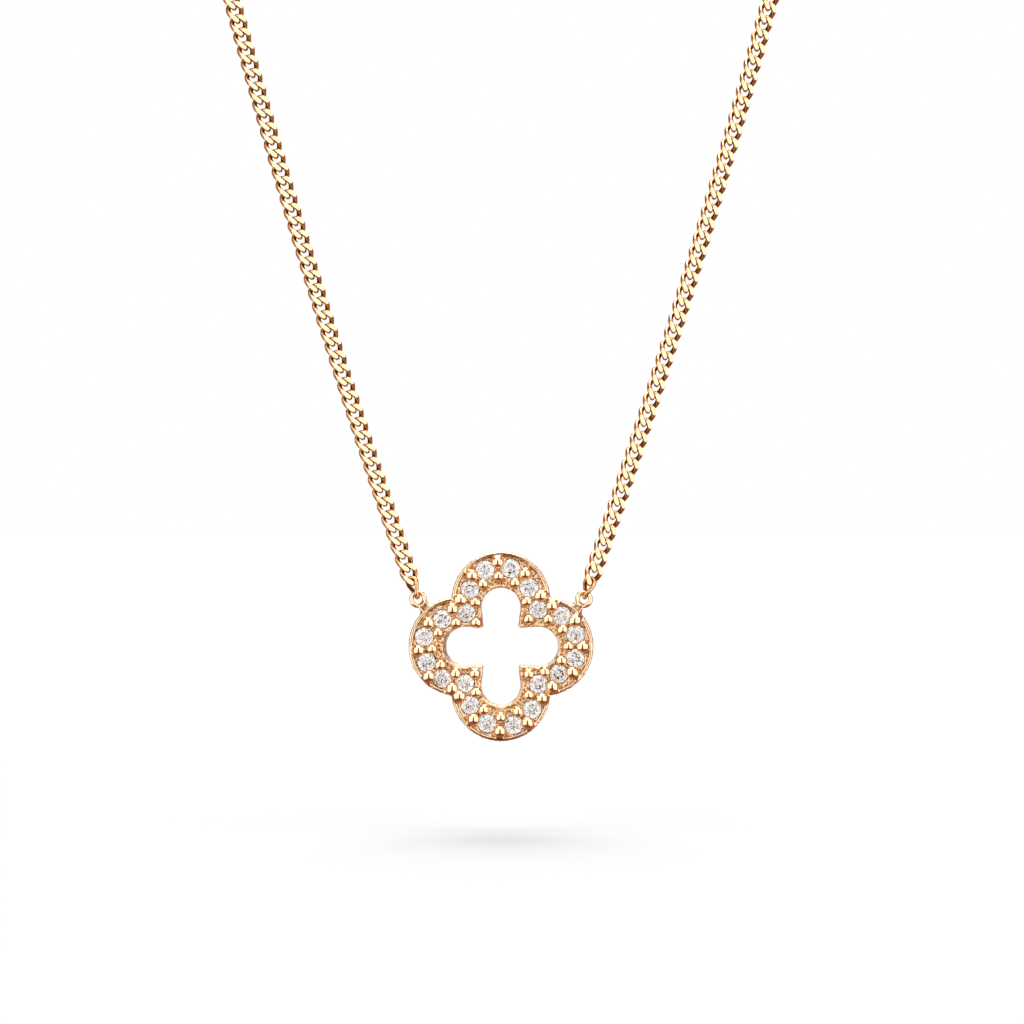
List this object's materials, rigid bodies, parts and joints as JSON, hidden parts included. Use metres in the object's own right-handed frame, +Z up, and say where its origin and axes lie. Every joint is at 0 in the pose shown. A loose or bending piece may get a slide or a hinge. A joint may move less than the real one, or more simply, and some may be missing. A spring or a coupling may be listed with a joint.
{
  "type": "four leaf clover pendant necklace",
  "caption": "Openwork four leaf clover pendant set with round stones in bead settings, hung by two ears between the ends of a fine curb chain that closes with a plain ring clasp.",
  "frame": {"origin": "middle of the chain at the nape, where it rests on the neck", "axes": "+Z up, -Y to the front, the way the clover faces, +X across from strand to strand"},
  "size_m": [0.0704, 0.0656, 0.1686],
  "materials": {
    "clover_gold": "polished rose gold, cast",
    "chain_gold": "polished rose gold, diamond cut",
    "clasp_gold": "polished rose gold",
    "stone": "clear brilliant cut"
  },
  "bodies": {
    "necklace": {"chain_left": "chain_gold", "chain_right": "chain_gold", "end_link_left": "chain_gold", "end_link_right": "chain_gold", "back_link_left": "chain_gold", "back_link_right": "chain_gold", "clasp": "clasp_gold", "end_ring": "clasp_gold"},
    "pendant": {"clover_setting": "clover_gold", "stone_01": "stone", "stone_02": "stone", "stone_03": "stone", "stone_04": "stone", "stone_05": "stone", "stone_06": "stone", "stone_07": "stone", "stone_08": "stone", "stone_09": "stone", "stone_10": "stone", "stone_11": "stone", "stone_12": "stone", "stone_13": "stone", "stone_14": "stone", "stone_15": "stone", "stone_16": "stone", "stone_17": "stone", "stone_18": "stone", "stone_19": "stone", "stone_20": "stone"}
  },
  "joints": [
    {"name": "pendant_swing", "type": "hinge", "parent": "necklace", "child": "pendant", "pos_m": [0, -0.06314, -0.15819], "axis": [1, 0, 0], "range_deg": [-60, 60]}
  ]
}
